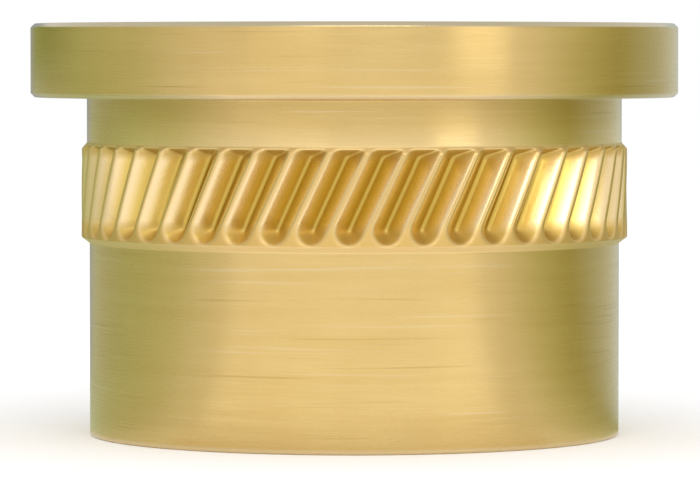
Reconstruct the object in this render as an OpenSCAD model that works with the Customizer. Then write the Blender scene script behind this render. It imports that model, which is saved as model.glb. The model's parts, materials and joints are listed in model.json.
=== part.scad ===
// Flanged compression limiter, a turned brass sleeve that a bolt passes through.
// The flange takes the bolt head, and a rolled diagonal knurl grips the moulded part around it.
// Millimetres, +Z up. It stands on its seating end, with the origin at that end's centre.

/* [Length] */
// Overall length, from the seating end to the flange's top face
overall_l = 8; // [6.5:0.1:14]

/* [Flange] */
// Diameter of the flange
flange_d = 12.6; // [11.6:0.1:16]
// Thickness of the flange
flange_t = 1.43; // [0.8:0.01:2.5]
// Edge break round both edges of the flange's rim
rim_break = 0.08; // [0.02:0.01:0.3]

/* [Body] */
// Diameter of the neck, between the flange and the knurl
neck_d = 10.42; // [9.4:0.02:11]
// Length of the neck
neck_l = 0.88; // [0.3:0.01:1.6]
// Radius of the corner under the flange
neck_fillet = 0.05; // [0.02:0.01:0.2]
// How far the pilot, below the knurl, lies inside the neck all round
pilot_relief = 0.05; // [0.01:0.01:0.2]
// Edge break at the pilot's end
pilot_break = 0.03; // [0.02:0.01:0.4]

/* [Bore] */
// Diameter of the through bore, a clearance hole for the bolt
bore_d = 6.6; // [5.5:0.1:8]
// Chamfer at both mouths of the bore
bore_chamfer = 0.2; // [0.05:0.05:0.5]

/* [Knurl] */
// How far the crests of the teeth stand above the neck
crest_rise = 0.11; // [0.08:0.01:0.25]
// Length of the knurled band, with its end chamfers
knurl_l = 1.95; // [1:0.05:3]
// Length of the chamfer at each end of the band
knurl_chamfer_l = 0.12; // [0.1:0.01:0.4]
// Number of teeth round the band
tooth_count = 47; // [36:1:60]
// Lean of the teeth from the axis, rising to the right
tooth_lean = 26; // [0:1:35]
// Width of the flat crest of a tooth
crest_w = 0.14; // [0.1:0.01:0.28]
// Width of the flat root of a groove
root_w = 0.04; // [0.04:0.01:0.15]
// Included angle between the flanks of a groove
groove_angle = 75; // [70:5:110]
// How far the grooves stop short of the band's upper end, at the neck's radius
groove_top_gap = 0.06; // [0.02:0.01:0.3]
// How far the round lower ends of the grooves stop short of the band's lower end, at the crests
groove_low_gap = 0.13; // [0.05:0.01:0.3]

/* [Hidden] */
$fn = 96;
brass = "#d8b46c";
fillet_steps = 4;

// Radii of the turned steps
bore_r = bore_d / 2;
flange_r = flange_d / 2;
neck_r = neck_d / 2;
pilot_r = neck_r - pilot_relief;
crest_r = neck_r + crest_rise;

// Heights of the shoulders above the seating end
flange_z = overall_l - flange_t;
knurl_top_z = flange_z - neck_l;
knurl_bottom_z = knurl_top_z - knurl_l;
knurl_mid_z = (knurl_top_z + knurl_bottom_z) / 2;

// One groove, measured square across the leaning teeth
tooth_pitch = 2 * PI * crest_r * cos(tooth_lean) / tooth_count;
groove_w = tooth_pitch - crest_w;
flank_run = tan(groove_angle / 2);
groove_depth = (groove_w - root_w) / (2 * flank_run);
// How far a cutter stands clear of the crests, too little to meet its neighbour
cutter_clear = crest_w / 4;

// Points along an arc in the section
function arc(centre, r, from, to) =
    [for (i = [0 : fillet_steps])
        let (a = from + (to - from) * i / fillet_steps)
        centre + r * [cos(a), sin(a)]];

// Half section of the turned blank as [radius, height], from the bore's lower mouth round to its upper one
blank_section = concat(
    [
        [bore_r, bore_chamfer],
        [bore_r + bore_chamfer, 0],
        [pilot_r - pilot_break, 0],
        [pilot_r, pilot_break],
        [pilot_r, knurl_bottom_z],
        [crest_r, knurl_bottom_z + knurl_chamfer_l],
        [crest_r, knurl_top_z - knurl_chamfer_l],
        [neck_r, knurl_top_z]
    ],
    arc([neck_r + neck_fillet, flange_z - neck_fillet], neck_fillet, 180, 90),
    [
        [flange_r - rim_break, flange_z],
        [flange_r, flange_z + rim_break],
        [flange_r, overall_l - rim_break],
        [flange_r - rim_break, overall_l],
        [bore_r + bore_chamfer, overall_l],
        [bore_r, overall_l - bore_chamfer]
    ]
);

// The sleeve as it leaves the lathe, with a plain raised band where the knurl will be
module turned_blank() {
    rotate_extrude() polygon(blank_section);
}

// The cutter of one groove, a V-shaped prism along +Z with X = 0 at the crests and a round lower end
module groove_cutter() {
    root = root_w / 2;
    mouth = groove_w / 2 + cutter_clear * flank_run;
    foot_z = (knurl_bottom_z + groove_low_gap + groove_w / 2 - knurl_mid_z) / cos(tooth_lean);
    translate([0, 0, foot_z])
        linear_extrude(height = knurl_l / cos(tooth_lean))
            polygon([
                [-groove_depth, -root],
                [cutter_clear, -mouth],
                [cutter_clear, mouth],
                [-groove_depth, root]
            ]);
    translate([-groove_depth, 0, foot_z])
        rotate([0, 90, 0])
            cylinder(h = groove_depth + cutter_clear, r1 = root, r2 = mouth);
}

// The ring that the knurling wheel reaches, up to the slope that the chamfer of its rim leaves
module wheel_reach() {
    inner_r = crest_r - groove_depth - cutter_clear;
    outer_r = crest_r + 2 * cutter_clear;
    high_z = knurl_top_z - groove_top_gap;
    rotate_extrude()
        polygon([
            [inner_r, knurl_bottom_z],
            [outer_r, knurl_bottom_z],
            [outer_r, high_z + outer_r - neck_r],
            [inner_r, high_z + inner_r - neck_r]
        ]);
}

// All the grooves of the knurl, as solids to cut away
module knurl_grooves() {
    intersection() {
        for (i = [0 : tooth_count - 1])
            rotate([0, 0, 360 * i / tooth_count])
                translate([crest_r, 0, knurl_mid_z])
                    rotate([-tooth_lean, 0, 0])
                        groove_cutter();
        wheel_reach();
    }
}

// The whole limiter, one solid piece
module limiter() {
    color(brass)
        difference() {
            turned_blank();
            knurl_grooves();
        }
}

limiter();
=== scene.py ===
"""Brass compression limiter, standing on its seating end on a pale studio floor."""
import json
from math import atan2, cos, exp, hypot, log, pi, radians, sin, tan
from types import SimpleNamespace

import bmesh
import bpy
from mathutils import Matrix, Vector


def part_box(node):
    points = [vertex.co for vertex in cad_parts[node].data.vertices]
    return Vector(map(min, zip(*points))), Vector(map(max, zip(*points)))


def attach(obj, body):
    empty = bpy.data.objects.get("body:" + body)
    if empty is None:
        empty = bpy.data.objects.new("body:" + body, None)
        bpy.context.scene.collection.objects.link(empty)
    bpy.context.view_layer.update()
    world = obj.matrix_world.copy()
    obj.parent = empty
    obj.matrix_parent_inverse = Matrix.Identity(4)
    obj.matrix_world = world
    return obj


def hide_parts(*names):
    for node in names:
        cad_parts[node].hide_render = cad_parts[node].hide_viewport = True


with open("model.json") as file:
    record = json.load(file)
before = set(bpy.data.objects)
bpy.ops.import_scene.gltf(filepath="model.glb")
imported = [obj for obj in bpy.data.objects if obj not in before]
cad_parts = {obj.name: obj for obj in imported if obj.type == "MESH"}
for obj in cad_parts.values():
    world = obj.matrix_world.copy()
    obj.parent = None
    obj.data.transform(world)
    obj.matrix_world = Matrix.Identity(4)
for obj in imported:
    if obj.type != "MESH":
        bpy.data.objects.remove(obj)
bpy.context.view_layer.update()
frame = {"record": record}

# Sizes of the turned steps, in metres, as in the part's source
MM = 0.001
NODE = "limiter"
_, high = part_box(NODE)
mounts = {mount["name"]: mount["dims"] for mount in frame["record"]["mounts"]}
LENGTH = high[2]
FLANGE_R = high[0]
BORE_R = mounts["bolt_bore"]["r_mm"] * MM
PILOT_R = mounts["pilot"]["r_mm"] * MM
NECK_R = 5.21 * MM
CREST_R = 5.32 * MM
FLANGE_T = 1.43 * MM
NECK_L = 0.88 * MM
KNURL_L = 1.95 * MM
KNURL_CHAMFER_L = 0.12 * MM
RIM_BREAK = 0.08 * MM
PILOT_BREAK = 0.03 * MM
BORE_CHAMFER = 0.2 * MM

# Heights of the shoulders
FLANGE_Z = LENGTH - FLANGE_T
KNURL_TOP = FLANGE_Z - NECK_L
KNURL_BOTTOM = KNURL_TOP - KNURL_L
KNURL_MID = (KNURL_TOP + KNURL_BOTTOM) / 2

# The knurl's teeth, with narrower crests than in the part's source
TEETH = 47
TOOTH_LEAN = radians(26)
CREST_W = 0.09 * MM
ROOT_W = 0.04 * MM
GROOVE_ANGLE = radians(75)
TOOTH_PITCH = 2 * pi * CREST_R * cos(TOOTH_LEAN) / TEETH
TOOTH_ANGLE = 2 * pi / TEETH
GROOVE_W = TOOTH_PITCH - CREST_W
GROOVE_DEPTH = (GROOVE_W - ROOT_W) / (2 * tan(GROOVE_ANGLE / 2))
ROOT_R = CREST_R - GROOVE_DEPTH

# A groove starts in a steep slope, which would meet the radius of the crests at this height
GROOVE_TOP_GAP = 0.06 * MM
END_SLOPE = 2.2
GROOVE_HIGH = KNURL_TOP - GROOVE_TOP_GAP + (CREST_R - NECK_R) / END_SLOPE
# It ends in a round tip, which rolling draws out along the groove
GROOVE_LOW_GAP = 0.13 * MM
TIP_STRETCH = 1.1
TIP_DROP = hypot(TIP_STRETCH * cos(TOOTH_LEAN), sin(TOOTH_LEAN)) * GROOVE_W / 2
TIP_END = KNURL_BOTTOM + GROOVE_LOW_GAP
TIP_START = (TIP_END + TIP_DROP - KNURL_MID) / cos(TOOTH_LEAN)
# How softly rolling leaves the root of a groove, the corners at its upper end, and its edges
ROOT_ROUND = 0.08 * MM
CORNER_SOFTNESS = 0.03 * MM
CREST_SOFTNESS = 0.03 * MM
MOUTH = hypot(GROOVE_W / 2, ROOT_ROUND)
FLANK_SLOPE = GROOVE_DEPTH / (MOUTH - ROOT_ROUND)

# Divisions of one tooth's width and of the stretches of its length, closer at the grooves' ends
COLUMNS = 20
LOW_ROWS = 4
TIP_ROWS = 14
BAND_ROWS = 8
END_ROWS = 6
TOP_ROWS = 8
TIP_TOP = KNURL_BOTTOM + 0.62 * MM
END_FOOT = KNURL_TOP - 0.38 * MM
# Vertices that shrink alike, to this many digits, are pressed together
SHRINK_DIGITS = 5

# Rounding left on the edges by the tools, and the steps that it is built in
SHARP_EDGE = 0.015 * MM
SOFT_EDGE = 0.03 * MM
NECK_FILLET = 0.05 * MM
EDGE_STEPS = 3
# How close points lie that count as one place, and those that are joined
SAME_PLACE = 0.002 * MM
SEAM = 0.001 * MM


def lean_at(height):
    """Angle that the teeth have turned through at a height in the knurl."""
    in_band = min(max(height, KNURL_BOTTOM), KNURL_TOP)
    return (in_band - KNURL_MID) * tan(TOOTH_LEAN) / CREST_R


def station(radius, height, turned=0.0):
    """A point of the section, turned about the axis."""
    return Vector((radius * cos(turned), radius * sin(turned), height))


def between(start, end, steps):
    """The points after start on a straight stretch of the section, up to end."""
    return [
        tuple(a + (b - a) * i / steps for a, b in zip(start, end))
        for i in range(1, steps + 1)
    ]


# Corners of the section that get a small rounding, with its radius
EDGES = {
    (BORE_R, BORE_CHAMFER): SOFT_EDGE,
    (BORE_R + BORE_CHAMFER, 0.0): SOFT_EDGE,
    (PILOT_R - PILOT_BREAK, 0.0): SHARP_EDGE,
    (PILOT_R, PILOT_BREAK): SHARP_EDGE,
    (PILOT_R, KNURL_BOTTOM): SHARP_EDGE,
    (CREST_R, KNURL_BOTTOM + KNURL_CHAMFER_L): SHARP_EDGE,
    (CREST_R, KNURL_TOP - KNURL_CHAMFER_L): SHARP_EDGE,
    (NECK_R, KNURL_TOP): SHARP_EDGE,
    (NECK_R, FLANGE_Z): NECK_FILLET,
    (FLANGE_R - RIM_BREAK, FLANGE_Z): SHARP_EDGE,
    (FLANGE_R, FLANGE_Z + RIM_BREAK): SHARP_EDGE,
    (FLANGE_R, LENGTH - RIM_BREAK): SHARP_EDGE,
    (FLANGE_R - RIM_BREAK, LENGTH): SHARP_EDGE,
    (BORE_R + BORE_CHAMFER, LENGTH): SOFT_EDGE,
    (BORE_R, LENGTH - BORE_CHAMFER): SOFT_EDGE,
}


def section_stations():
    """Stations round the half section, turned with the teeth from the pilot up to the flange."""
    body = [(PILOT_R - PILOT_BREAK, 0.0), (PILOT_R, PILOT_BREAK), (PILOT_R, KNURL_BOTTOM)]
    stretches = (
        (CREST_R, KNURL_BOTTOM + KNURL_CHAMFER_L, LOW_ROWS),
        (CREST_R, TIP_TOP, TIP_ROWS),
        (CREST_R, END_FOOT, BAND_ROWS),
        (CREST_R, KNURL_TOP - KNURL_CHAMFER_L, END_ROWS),
        (NECK_R, KNURL_TOP, TOP_ROWS),
        (NECK_R, FLANGE_Z, 1),
    )
    for radius, height, rows in stretches:
        body += between(body[-1], (radius, height), rows)
    flange = [
        (FLANGE_R - RIM_BREAK, FLANGE_Z),
        (FLANGE_R, FLANGE_Z + RIM_BREAK),
        (FLANGE_R, LENGTH - RIM_BREAK),
        (FLANGE_R - RIM_BREAK, LENGTH),
    ]
    lower_mouth = [(BORE_R, BORE_CHAMFER), (BORE_R + BORE_CHAMFER, 0.0)]
    upper_mouth = [(BORE_R + BORE_CHAMFER, LENGTH), (BORE_R, LENGTH - BORE_CHAMFER)]
    stations = [station(*point) for point in lower_mouth]
    stations += [station(*point, lean_at(point[1])) for point in body + flange]
    return stations + [station(*point) for point in upper_mouth]


def draw_line(stations):
    """Draw a line from station to station by extruding one vertex, and stay in edit mode."""
    bpy.ops.object.select_all(action="DESELECT")
    bpy.ops.mesh.primitive_plane_add(size=MM, location=stations[0])
    bpy.ops.object.transform_apply(location=True)
    bpy.ops.object.mode_set(mode="EDIT")
    bpy.ops.mesh.select_mode(type="VERT")
    bpy.ops.mesh.merge(type="CENTER")
    for here, there in zip(stations, stations[1:]):
        bpy.ops.mesh.extrude_region_move(TRANSFORM_OT_translate={"value": there - here})
    return bpy.context.active_object


def draw_section(stations):
    """Draw the section's outline and close it."""
    piece = draw_line(stations)
    outline = bmesh.from_edit_mesh(piece.data)
    outline.verts.ensure_lookup_table()
    outline.verts[0].select_set(True)
    bmesh.update_edit_mesh(piece.data)
    bpy.ops.mesh.edge_face_add()
    return piece


def spin_about_bore(angle, steps, copies=False):
    """Spin everything about the bore's axis."""
    bpy.ops.mesh.select_all(action="SELECT")
    bpy.ops.mesh.spin(steps=steps, angle=angle, dupli=copies, center=(0, 0, 0), axis=(0, 0, 1))


def place(vertex):
    """Radius and height of a vertex."""
    return vertex.co.xy.length, vertex.co.z


def at_corner(vertex, corner):
    """Whether a vertex lies at a corner of the section."""
    radius, height = place(vertex)
    return abs(radius - corner[0]) < SAME_PLACE and abs(height - corner[1]) < SAME_PLACE


def break_edge(piece, corner, size):
    """Round the turned edge that runs through a corner of the section."""
    bpy.ops.mesh.select_all(action="DESELECT")
    bpy.ops.mesh.select_mode(type="EDGE")
    mesh = bmesh.from_edit_mesh(piece.data)
    for edge in mesh.edges:
        if all(at_corner(vertex, corner) for vertex in edge.verts):
            edge.select_set(True)
    bmesh.update_edit_mesh(piece.data)
    bpy.ops.mesh.bevel(offset=size, segments=EDGE_STEPS, affect="EDGES", clamp_overlap=True)
    bpy.ops.mesh.select_mode(type="VERT")


def soft_least(values, softness):
    """The least of some lengths, with the corners between them rounded."""
    least = min(values)
    return least - softness * log(sum(exp((least - value) / softness) for value in values))


def groove_depth(turned, height):
    """Depth of a groove below the crests, at a turn from its middle line."""
    across = turned * CREST_R * cos(TOOTH_LEAN)
    along = turned * CREST_R * sin(TOOTH_LEAN) + (height - KNURL_MID) / cos(TOOTH_LEAN)
    into_tip = max(TIP_START - along, 0) / TIP_STRETCH
    flank = (MOUTH - hypot(across, into_tip, ROOT_ROUND)) * FLANK_SLOPE
    return soft_least((flank, (GROOVE_HIGH - height) * END_SLOPE), CORNER_SOFTNESS)


def knurl_radius(turned, height, blank_radius):
    """Radius that the knurl is pressed to by a groove and its two neighbours."""
    turns = (turned - TOOTH_ANGLE, turned, turned + TOOTH_ANGLE)
    pressed = [CREST_R - groove_depth(turn, height) for turn in turns]
    return soft_least((blank_radius, *pressed), CREST_SOFTNESS)


def roll_groove(piece):
    """Press one groove into the middle of the tooth's width."""
    mesh = bmesh.from_edit_mesh(piece.data)
    bpy.ops.mesh.select_all(action="DESELECT")
    presses = {}
    for vertex in mesh.verts:
        radius, height = place(vertex)
        if radius < PILOT_R - SAME_PLACE or not KNURL_BOTTOM < height < KNURL_TOP:
            continue
        turned = atan2(vertex.co.y, vertex.co.x) - lean_at(height) - TOOTH_ANGLE / 2
        target = knurl_radius(turned, height, radius)
        if target < radius:
            presses.setdefault(round(target / radius, SHRINK_DIGITS), []).append(vertex)
    for shrink, vertices in presses.items():
        for vertex in vertices:
            vertex.select_set(True)
        bmesh.update_edit_mesh(piece.data)
        bpy.ops.transform.resize(value=(shrink, shrink, 1), center_override=(0, 0, 0))
        for vertex in vertices:
            vertex.select_set(False)


def make_limiter():
    """Turn one tooth's width of the limiter, roll its groove, and copy it round the axis."""
    piece = draw_section(section_stations())
    spin_about_bore(-TOOTH_ANGLE, COLUMNS)
    bpy.ops.mesh.select_all(action="SELECT")
    bpy.ops.mesh.normals_make_consistent(inside=False)
    for corner, size in EDGES.items():
        break_edge(piece, corner, size)
    roll_groove(piece)
    spin_about_bore(2 * pi * (TEETH - 1) / TEETH, TEETH - 1, copies=True)
    bpy.ops.mesh.select_all(action="SELECT")
    bpy.ops.mesh.remove_doubles(threshold=SEAM)
    bpy.ops.mesh.normals_make_consistent(inside=False)
    bpy.ops.object.mode_set(mode="OBJECT")
    bpy.ops.object.shade_smooth()
    piece.name = piece.data.name = "turned_limiter"
    bpy.ops.object.modifier_add(type="WEIGHTED_NORMAL")
    bpy.ops.object.modifier_apply(modifier=piece.modifiers[0].name)
    return piece


def add_node(tree, kind, inputs=None, **settings):
    """Add a node, set its options, and fill or link its inputs."""
    made = tree.nodes.new(kind)
    for name, value in settings.items():
        setattr(made, name, value)
    for name, value in (inputs or {}).items():
        if isinstance(value, bpy.types.NodeSocket):
            tree.links.new(value, made.inputs[name])
        else:
            made.inputs[name].default_value = value
    return made


def combine(tree, first, second, operation="ADD"):
    """Two numbers joined by an operation."""
    return add_node(tree, "ShaderNodeMath", {0: first, 1: second}, operation=operation).outputs[0]


def distance(tree, value, target):
    """How far a number is from a target, either way."""
    gap = combine(tree, value, target, "SUBTRACT")
    return add_node(tree, "ShaderNodeMath", {0: gap}, operation="ABSOLUTE").outputs[0]


def vector_math(tree, operation, *inputs):
    """What an operation on vectors gives, by the names of its outputs."""
    return add_node(tree, "ShaderNodeVectorMath", dict(enumerate(inputs)), operation=operation).outputs


def noise(tree, at, scale, detail):
    """An even noise, from zero to one."""
    inputs = {"Vector": at, "Scale": scale, "Detail": detail}
    return add_node(tree, "ShaderNodeTexNoise", inputs).outputs["Fac"]


def remap(tree, value, from_low, from_high, to_low, to_high):
    """A number moved from one range to another, and held within it."""
    inputs = {0: value, 1: from_low, 2: from_high, 3: to_low, 4: to_high}
    return add_node(tree, "ShaderNodeMapRange", inputs).outputs[0]


def rise(tree, value, start, end, most=1.0):
    """A mask that is zero up to start, and at its most from end on."""
    return remap(tree, value, start, end, 0.0, most)


def fall(tree, value, start, end, most=1.0):
    """A mask that is at its most up to start, and zero from end on."""
    return remap(tree, value, start, end, most, 0.0)


def blend(tree, factor, first, second):
    """Mix two colours."""
    mixed = add_node(tree, "ShaderNodeMix", {0: factor}, data_type="RGBA")
    for socket, colour in zip((mixed.inputs[6], mixed.inputs[7]), (first, second)):
        if isinstance(colour, bpy.types.NodeSocket):
            tree.links.new(colour, socket)
        else:
            socket.default_value = colour
    return mixed.outputs[2]


def axis_coordinates(tree):
    """Where a point lies from the bore's axis, and the places that tool marks follow."""
    at = add_node(tree, "ShaderNodeTexCoord").outputs["Object"]
    x, y, height = add_node(tree, "ShaderNodeSeparateXYZ", {0: at}).outputs
    flat = add_node(tree, "ShaderNodeCombineXYZ", {"X": x, "Y": y}).outputs[0]
    radius = vector_math(tree, "LENGTH", flat)["Value"]
    heading = vector_math(tree, "NORMALIZE", flat)["Vector"]
    along = add_node(tree, "ShaderNodeCombineXYZ", {"Z": combine(tree, radius, height)}).outputs[0]
    return SimpleNamespace(at=at, radius=radius, height=height, heading=heading, along=along)


def tool_marks(tree, spot, width, span, detail):
    """Streaks of a given width that run round the axis, over about a given angle."""
    across = vector_math(tree, "MULTIPLY", spot.along, (1 / width, 1 / width, 1 / width))["Vector"]
    vector = vector_math(tree, "MULTIPLY_ADD", spot.heading, (1 / span, 1 / span, 0), across)["Vector"]
    return noise(tree, vector, 1.0, detail)


def start_metal(name):
    """A new metal, with its nodes and its shader."""
    material = bpy.data.materials.new(name)
    material.use_nodes = True
    tree = material.node_tree
    shader = tree.nodes["Principled BSDF"]
    shader.inputs["Metallic"].default_value = 1.0
    return material, tree, shader


def add_relief(tree, shader, relief, depth):
    """Give a metal the relief of a pattern."""
    bump = add_node(tree, "ShaderNodeBump", {"Strength": 1.0, "Distance": depth, "Height": relief})
    tree.links.new(bump.outputs[0], shader.inputs["Normal"])


# Tones of the brass
BRASS = (0.66, 0.475, 0.192, 1)
BRASS_DEEP = (0.61, 0.425, 0.158, 1)
# A darker tone for the dark scores, and for the painted shade under the flange
BRASS_SCORE_AND_SHADE = (0.50, 0.345, 0.12, 1)
BRASS_PALE = (0.71, 0.58, 0.37, 1)
# A pale tone for the painted highlight on the knurl's chamfers
BRASS_CHAMFER_HIGHLIGHT = (0.84, 0.65, 0.32, 1)
# A grey tone for the painted reflection on the flange's top edge
BRASS_GREY_REFLECTION = (0.47, 0.43, 0.31, 1)
# A paler tone for the painted highlight on the neck's lower end
BRASS_NECK_HIGHLIGHT = (0.80, 0.60, 0.29, 1)
# Tones of the knurl: painted shade that deepens toward the grooves' roots and lies at their ends, and a
# painted highlight on the flanks
BRASS_CREST = (0.65, 0.44, 0.15, 1)
BRASS_FLANK_HIGHLIGHT = (0.78, 0.595, 0.32, 1)
BRASS_GROOVE_SHADE = (0.67, 0.48, 0.13, 1)
BRASS_ROOT_SHADE = (0.52, 0.35, 0.07, 1)
BRASS_TIP_SHADE = (0.59, 0.41, 0.115, 1)

# Tool marks, as their width, the angle that one runs round over, in radians, and their detail
FINE_MARKS = (0.04 * MM, 0.2, 2.0)
FEED_MARKS = (0.25 * MM, 0.6, 3.0)
SCORES = (0.06 * MM, 0.7, 1.0)
DRILL_MARKS = (0.06 * MM, 0.3, 3.0)
# Stretches of a pattern over which a mask rises or falls, some with the most that it reaches
BRIGHT_SCORES = (0.66, 0.78, 0.35)
DARK_SCORES = (0.22, 0.33, 0.8)
CLOUD_TONES = (0.35, 0.65)
MARK_TONES = (0.3, 0.7)
# Noise that clouds the turned surfaces and roughens the knurl
CLOUD_SCALE = 420.0
GRAIN_SCALE = 9000.0
NOISE_DETAIL = 3.0
# Shares of the cloud and of the feed marks in the turned surfaces' tone
CLOUD_SHARE = 0.5
FEED_SHARE = 0.5

# Edges of the turned steps, as radius and height: those that handling rubs paler, and the flange's top
# edge, which carries a painted grey reflection
RUBBED_EDGES = ((FLANGE_R, FLANGE_Z), (PILOT_R, 0.0))
GREY_REFLECTION_EDGE = (FLANGE_R, LENGTH)
# Distances from an edge between which its tone fades out, and the most that the tone counts
EDGE_REACH = (0.06 * MM, 0.11 * MM)
RUBBED_SHARE = 0.6
GREY_REFLECTION_SHARE = 0.85
# Length over which the knurl's chamfers, rougher with wear and painted paler as a highlight, fade out
WORN_AND_LIT_FADE = 0.02 * MM
# Painted shade in the corner of the neck under the flange, which rises toward the flange and fades out
# past the neck's radius
CORNER_BELOW = (0.55 * MM, 0.1 * MM)
CORNER_OUT = (0.08 * MM, 0.2 * MM)
CORNER_SHARE = 0.55
# A painted highlight on the neck's lower end, just above the knurl
NECK_HIGHLIGHT_REACH = 0.45 * MM
NECK_HIGHLIGHT_SHARE = 0.75

# Roughness of the turned surfaces, smoothest to dullest, and what wear adds
SATIN = (0.25, 0.32)
WORN_ROUGHNESS = 0.3
# Relief of the turned surfaces, with the share that the fine marks have in it
FINE_SHARE = 0.12
TURNED_RELIEF = 0.001 * MM
# How far the marks draw out a reflection, and the part of a turn that lays it across them
STREAK = 0.6
STREAK_TURN = 0.25


def near_edge(tree, spot, edge, most):
    """How near a point is to a turned edge, from zero to the most that its tone counts."""
    section = add_node(tree, "ShaderNodeCombineXYZ", {"X": spot.radius, "Y": spot.height}).outputs[0]
    away = vector_math(tree, "DISTANCE", section, (*edge, 0))["Value"]
    return fall(tree, away, *EDGE_REACH, most)


def worn_lit_chamfers(tree, height):
    """How far a point lies on the chamfers at the ends of the knurl, which are rougher with wear and carry
    a painted highlight.
    """
    off_middle = distance(tree, height, KNURL_MID)
    off_chamfer = distance(tree, off_middle, (KNURL_L - KNURL_CHAMFER_L) / 2)
    return fall(tree, off_chamfer, KNURL_CHAMFER_L / 2, KNURL_CHAMFER_L / 2 + WORN_AND_LIT_FADE)


def painted_corner_shade(tree, spot):
    """How far a point lies in the painted shade in the corner of the neck under the flange."""
    start, full = CORNER_BELOW
    high_up = rise(tree, spot.height, FLANGE_Z - start, FLANGE_Z - full, CORNER_SHARE)
    near, far = CORNER_OUT
    inside = fall(tree, spot.radius, NECK_R + near, NECK_R + far)
    return combine(tree, high_up, inside, "MULTIPLY")


def painted_neck_highlight(tree, height):
    """How far a point lies in the painted highlight on the neck's lower end."""
    low_down = fall(tree, height, KNURL_TOP, KNURL_TOP + NECK_HIGHLIGHT_REACH, NECK_HIGHLIGHT_SHARE)
    return combine(tree, low_down, combine(tree, height, KNURL_TOP, "GREATER_THAN"), "MULTIPLY")


def turned_brass():
    """Satin brass with fine tool marks that run round the axis, and edges that wear has changed."""
    material, tree, shader = start_metal("turned_brass")
    spot = axis_coordinates(tree)
    fine = tool_marks(tree, spot, *FINE_MARKS)
    feed = tool_marks(tree, spot, *FEED_MARKS)
    score = tool_marks(tree, spot, *SCORES)
    cloud = noise(tree, spot.at, CLOUD_SCALE, NOISE_DETAIL)
    streaks = combine(tree, feed, FEED_SHARE, "MULTIPLY")
    tone = combine(tree, streaks, combine(tree, cloud, CLOUD_SHARE, "MULTIPLY"))
    body = blend(tree, rise(tree, tone, *CLOUD_TONES), BRASS_DEEP, BRASS)
    body = blend(tree, fall(tree, score, *DARK_SCORES), body, BRASS_SCORE_AND_SHADE)
    # Painted shade in the neck's corner under the flange
    body = blend(tree, painted_corner_shade(tree, spot), body, BRASS_SCORE_AND_SHADE)
    # Painted highlight on the neck's lower end
    body = blend(tree, painted_neck_highlight(tree, spot.height), body, BRASS_NECK_HIGHLIGHT)
    pale = rise(tree, score, *BRIGHT_SCORES)
    for edge in RUBBED_EDGES:
        pale = combine(tree, pale, near_edge(tree, spot, edge, RUBBED_SHARE), "MAXIMUM")
    body = blend(tree, pale, body, BRASS_PALE)
    worn_and_lit = worn_lit_chamfers(tree, spot.height)
    # The knurl's chamfers painted paler, a painted highlight
    body = blend(tree, worn_and_lit, body, BRASS_CHAMFER_HIGHLIGHT)
    # Painted grey reflection on the flange's top edge
    body = blend(tree, near_edge(tree, spot, GREY_REFLECTION_EDGE, GREY_REFLECTION_SHARE), body, BRASS_GREY_REFLECTION)
    tree.links.new(body, shader.inputs["Base Color"])
    satin = remap(tree, fine, *MARK_TONES, *SATIN)
    roughness = combine(tree, satin, combine(tree, worn_and_lit, WORN_ROUGHNESS, "MULTIPLY"))
    tree.links.new(roughness, shader.inputs["Roughness"])
    relief = combine(tree, combine(tree, fine, FINE_SHARE, "MULTIPLY"), feed)
    add_relief(tree, shader, relief, TURNED_RELIEF)
    shader.inputs["Anisotropic"].default_value = STREAK
    shader.inputs["Anisotropic Rotation"].default_value = STREAK_TURN
    tangent = add_node(tree, "ShaderNodeTangent", direction_type="RADIAL", axis="Z")
    tree.links.new(tangent.outputs[0], shader.inputs["Tangent"])
    return material


# Shares of the way up from a groove's root to the crests, where one tone gives way to the next: painted
# shade at the root and low in the groove, a painted highlight on the flanks, then the crests
ROOT_TO_GROOVE = (0.0, 0.25)
GROOVE_TO_FLANK = (0.3, 0.7)
FLANK_TO_CREST = (0.88, 1.0)
TIP_TO_CREST = (0.8, 1.0)
# Heights where the painted shade at the grooves' ends fades, at the tips and at the sloping ends
TIP_FADE = (TIP_END + 0.2 * MM, TIP_END + 0.42 * MM)
END_FADE = (GROOVE_HIGH - 0.28 * MM, GROOVE_HIGH - 0.14 * MM)
END_SHARE = 0.8
# Roughness of the knurl from the roots to the crests, what the shaded ends of the grooves add, and the
# relief of its grain
ROLLED_POLISH = (0.30, 0.24)
END_ROUGHNESS = 0.3
GRAIN_RELIEF = 0.002 * MM


def rolled_brass():
    """Brass of the knurl, with painted shade that deepens into the grooves, a painted highlight on the
    flanks, and painted shade at the grooves' ends, which are also rougher.
    """
    material, tree, shader = start_metal("rolled_brass")
    spot = axis_coordinates(tree)
    crest = rise(tree, spot.radius, ROOT_R, CREST_R)
    groove = blend(tree, rise(tree, crest, *ROOT_TO_GROOVE), BRASS_ROOT_SHADE, BRASS_GROOVE_SHADE)
    flank = blend(tree, rise(tree, crest, *GROOVE_TO_FLANK), groove, BRASS_FLANK_HIGHLIGHT)
    tooth = blend(tree, rise(tree, crest, *FLANK_TO_CREST), flank, BRASS_CREST)
    low_end = fall(tree, spot.height, *TIP_FADE)
    high_end = rise(tree, spot.height, *END_FADE, END_SHARE)
    either_end = combine(tree, low_end, high_end, "MAXIMUM")
    # Painted shade at the grooves' ends
    shaded_ends = combine(tree, either_end, fall(tree, crest, *TIP_TO_CREST), "MULTIPLY")
    tree.links.new(blend(tree, shaded_ends, tooth, BRASS_TIP_SHADE), shader.inputs["Base Color"])
    polish = remap(tree, crest, 0.0, 1.0, *ROLLED_POLISH)
    rough = combine(tree, combine(tree, low_end, shaded_ends, "MAXIMUM"), END_ROUGHNESS, "MULTIPLY")
    tree.links.new(combine(tree, polish, rough), shader.inputs["Roughness"])
    add_relief(tree, shader, noise(tree, spot.at, GRAIN_SCALE, NOISE_DETAIL), GRAIN_RELIEF)
    return material


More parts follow.
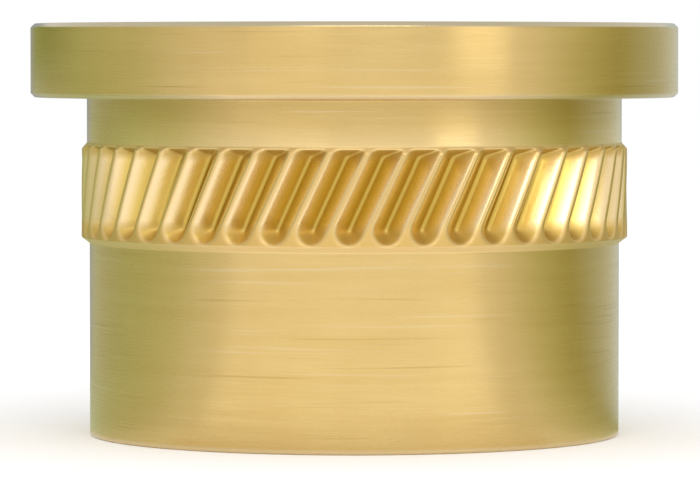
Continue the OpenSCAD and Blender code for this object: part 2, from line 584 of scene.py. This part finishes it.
# Roughness and relief of the bore's wall
BORE_ROUGHNESS = 0.36
DRILL_RELIEF = 0.002 * MM


def bored_brass():
    """Brass of the bore's wall, with the coarser marks that the drill leaves."""
    material, tree, shader = start_metal("bored_brass")
    marks = tool_marks(tree, axis_coordinates(tree), *DRILL_MARKS)
    body = blend(tree, rise(tree, marks, *MARK_TONES), BRASS_DEEP, BRASS)
    tree.links.new(body, shader.inputs["Base Color"])
    shader.inputs["Roughness"].default_value = BORE_ROUGHNESS
    add_relief(tree, shader, marks, DRILL_RELIEF)
    return material


def assign_finish(piece, material, chosen):
    """Give a finish to the faces whose middle, as radius and height, is chosen."""
    piece.data.materials.append(material)
    piece.active_material_index = len(piece.data.materials) - 1
    bpy.ops.object.mode_set(mode="EDIT")
    bpy.ops.mesh.select_mode(type="FACE")
    bpy.ops.mesh.select_all(action="DESELECT")
    mesh = bmesh.from_edit_mesh(piece.data)
    for face in mesh.faces:
        middle = face.calc_center_median()
        if chosen(middle.xy.length, middle.z):
            face.select_set(True)
    bmesh.update_edit_mesh(piece.data)
    bpy.ops.object.material_slot_assign()
    bpy.ops.object.mode_set(mode="OBJECT")


def in_knurl(radius, height):
    """In a groove, or on the crests between the band's chamfers."""
    off_end = min(KNURL_TOP - height, height - KNURL_BOTTOM)
    if off_end < 0 or radius < ROOT_R - SAME_PLACE:
        return False
    foot_r = NECK_R if height > KNURL_MID else PILOT_R
    chamfer_r = foot_r + (CREST_R - foot_r) * off_end / KNURL_CHAMFER_L
    return off_end > KNURL_CHAMFER_L or radius < chamfer_r - SOFT_EDGE


def in_bore(radius, _height):
    """On the bore's wall."""
    return radius < BORE_R + SAME_PLACE


limiter = make_limiter()
limiter.data.materials.append(turned_brass())
assign_finish(limiter, rolled_brass(), in_knurl)
assign_finish(limiter, bored_brass(), in_bore)
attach(limiter, "root")
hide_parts(NODE)

# The floor's width in metres, the tone by which it gives light, and its roughness
FLOOR_SIZE = 4
FLOOR_PAPER = (0.88, 0.88, 0.88, 1)
FLOOR_ROUGHNESS = 0.9
# The tone of the floor as it is seen, and of the studio all round
WHITE = (1, 1, 1, 1)


def seen_rays(tree):
    """One for rays by which the camera, metal or glass sees a surface, and zero for the light it gives."""
    rays = add_node(tree, "ShaderNodeLightPath").outputs
    seen = combine(tree, rays["Is Camera Ray"], rays["Is Glossy Ray"], "MAXIMUM")
    return combine(tree, seen, rays["Is Transmission Ray"], "MAXIMUM")


def make_floor():
    """A wide sheet of pale paper under the limiter."""
    bpy.ops.object.select_all(action="DESELECT")
    bpy.ops.mesh.primitive_plane_add(size=FLOOR_SIZE)
    floor = bpy.context.active_object
    floor.name = "studio_floor"
    paper = bpy.data.materials.new("floor_paper")
    paper.use_nodes = True
    tree = paper.node_tree
    shader = tree.nodes["Principled BSDF"]
    tree.links.new(blend(tree, seen_rays(tree), FLOOR_PAPER, WHITE), shader.inputs["Base Color"])
    shader.inputs["Roughness"].default_value = FLOOR_ROUGHNESS
    shader.inputs["Specular IOR Level"].default_value = 0.0
    floor.data.materials.append(paper)


def toward(azimuth, elevation):
    """Direction from the limiter, with azimuth 0 toward the camera and rising to its right."""
    turned, raised = radians(azimuth), radians(elevation)
    return Vector((sin(turned) * cos(raised), -cos(turned) * cos(raised), sin(raised)))


# Radii and heights of a card, which lies on the floor beside the limiter and then stands up
SKIRT_IN = 5.3 * MM
SKIRT_OUT = 22 * MM
SKIRT_Z = 0.02 * MM
CARD_R = 26 * MM
CARD_FOOT = 4 * MM
SIDE_TOP = 15 * MM
BACK_TOP = 60 * MM
CARD_STEPS = 16
# Heights between which a card's lower tone gives way to its upper one
TONE_SPLIT = (6.0 * MM, 6.7 * MM)

# Azimuths where the cards start and meet, in degrees
FULL_TURN = 360
LEFT_START = -46
RIGHT_START = 48
BACK_RIGHT = 150
BACK_MIDDLE = 180
BACK_LEFT = 208

# Tones that the side cards glow in, by their azimuth, on either side of the camera, which darken and tint
# the brass's sides in its reflections
BACK_GREY = (0.42, 0.46, 0.52, 1)
LEFT_END = ((0.56, 0.63, 0.46, 1), (0.32, 0.39, 0.13, 1))
LEFT_STOPS = (
    (46, WHITE),
    (72, (0.68, 0.74, 0.56, 1)),
    (98, (0.57, 0.68, 0.45, 1)),
    (124, LEFT_END),
    (142, LEFT_END),
    (152, BACK_GREY),
)
RIGHT_END = (0.70, 0.78, 0.76, 1)
RIGHT_STOPS = (
    (54, WHITE),
    (74, (0.68, 0.73, 0.48, 1)),
    (95, (0.44, 0.45, 0.18, 1)),
    (112, (0.54, 0.60, 0.48, 1)),
    (144, RIGHT_END),
)
BACK_RIGHT_STOPS = ((BACK_RIGHT, RIGHT_END), (172, BACK_GREY))

# The card on the floor in front, which is a little brighter than the paper
FRONT_SECTION = ((7 * MM, SKIRT_Z), (15 * MM, SKIRT_Z))
FRONT_BRIGHTNESS = 1.35


def standing(height):
    """Section of a card that stands up at its outer edge."""
    return (SKIRT_IN, SKIRT_Z), (SKIRT_OUT, SKIRT_Z), (CARD_R, CARD_FOOT), (CARD_R, height)


def make_card(name, start, end, section, paint):
    """A curved card round the limiter, from one azimuth to another, which only the brass reflects."""
    card = draw_line([toward(start, 0) * radius + Vector((0, 0, up)) for radius, up in section])
    card.name = name
    spin_about_bore(radians(start - end), CARD_STEPS)
    bpy.ops.object.mode_set(mode="OBJECT")
    card.data.materials.append(paint)
    card.visible_camera = False
    card.visible_diffuse = False
    card.visible_shadow = False


def card_paint(name, stops, brightness=1.0):
    """A glow that blends from tone to tone at given azimuths, where a pair is a lower and an upper tone.
    """
    paint = bpy.data.materials.new(name)
    paint.use_nodes = True
    tree = paint.node_tree
    tree.nodes.remove(tree.nodes["Principled BSDF"])
    spot = axis_coordinates(tree)
    toward_back = add_node(tree, "ShaderNodeSeparateXYZ", {0: spot.heading}).outputs["Y"]
    angle, tone = stops[0]
    for next_angle, next_tone in stops[1:]:
        if isinstance(next_tone[0], tuple):
            next_tone = blend(tree, rise(tree, spot.height, *TONE_SPLIT), *next_tone)
        shade = rise(tree, toward_back, -cos(radians(angle)), -cos(radians(next_angle)))
        tone = blend(tree, shade, tone, next_tone)
        angle = next_angle
    glow = add_node(tree, "ShaderNodeEmission", {"Color": tone, "Strength": brightness})
    tree.links.new(glow.outputs[0], tree.nodes["Material Output"].inputs["Surface"])
    return paint


# Lamps, as azimuth, elevation, width, height, and brightness against white paper
LAMP_DISTANCE = 150 * MM
LAMPS = {
    "key_softbox": (2, 40, 100 * MM, 55 * MM, 2.8),
    "left_softbox": (-24, 14, 70 * MM, 80 * MM, 0.2),
    "right_softbox": (46, 14, 60 * MM, 80 * MM, 0.75),
}


def make_softbox(name, azimuth, elevation, width, height, brightness):
    """A soft rectangular lamp that faces the limiter."""
    facing = toward(azimuth, elevation)
    bpy.ops.object.light_add(type="AREA", location=facing * LAMP_DISTANCE + Vector((0, 0, LENGTH / 2)))
    lamp = bpy.context.active_object
    lamp.name = name
    lamp.rotation_euler = facing.to_track_quat("Z", "Y").to_euler()
    lamp.data.shape = "RECTANGLE"
    lamp.data.size = width
    lamp.data.size_y = height
    lamp.data.energy = brightness * pi * width * height
    lamp.visible_camera = False


# The camera stands a little below the flange's top, as in the photograph
CAMERA_AT = Vector((0, -91 * MM, 7.4 * MM))
CAMERA_AIM = Vector((-0.084 * MM, 0, 3.7 * MM))
# Its lens and sensor in millimetres, and the nearest that it sees in metres
CAMERA_LENS = 239.8
SENSOR_WIDTH = 36
NEAREST_SEEN = 1 * MM


def make_camera():
    """The camera at the photograph's angle."""
    bpy.ops.object.camera_add(location=CAMERA_AT)
    camera = bpy.context.active_object
    camera.rotation_euler = (CAMERA_AIM - CAMERA_AT).to_track_quat("-Z", "Y").to_euler()
    camera.data.lens = CAMERA_LENS
    camera.data.sensor_width = SENSOR_WIDTH
    camera.data.clip_start = NEAREST_SEEN
    bpy.context.scene.camera = camera


def make_world():
    """White all round."""
    world = bpy.data.worlds.new("studio")
    bpy.context.scene.world = world
    world.use_nodes = True
    background = world.node_tree.nodes["Background"]
    background.inputs["Strength"].default_value = 1.0
    background.inputs["Color"].default_value = WHITE


make_floor()
side_section = standing(SIDE_TOP)
back_section = standing(BACK_TOP)
left_paint = card_paint("left_paint", LEFT_STOPS)
make_card("left_card", LEFT_START, BACK_LEFT - FULL_TURN, side_section, left_paint)
right_paint = card_paint("right_paint", RIGHT_STOPS)
make_card("right_card", RIGHT_START, BACK_RIGHT, side_section, right_paint)
back_right_paint = card_paint("back_right_paint", BACK_RIGHT_STOPS)
make_card("back_right_card", BACK_RIGHT, BACK_MIDDLE, back_section, back_right_paint)
back_left_paint = card_paint("back_left_paint", ((BACK_MIDDLE, BACK_GREY),))
make_card("back_left_card", BACK_MIDDLE, BACK_LEFT, back_section, back_left_paint)
front_paint = card_paint("front_paint", ((0, WHITE),), FRONT_BRIGHTNESS)
make_card("front_card", LEFT_START, -LEFT_START, FRONT_SECTION, front_paint)
for lamp_name, lamp_values in LAMPS.items():
    make_softbox(lamp_name, *lamp_values)
make_camera()
make_world()
bpy.context.scene.view_settings.view_transform = "Standard"
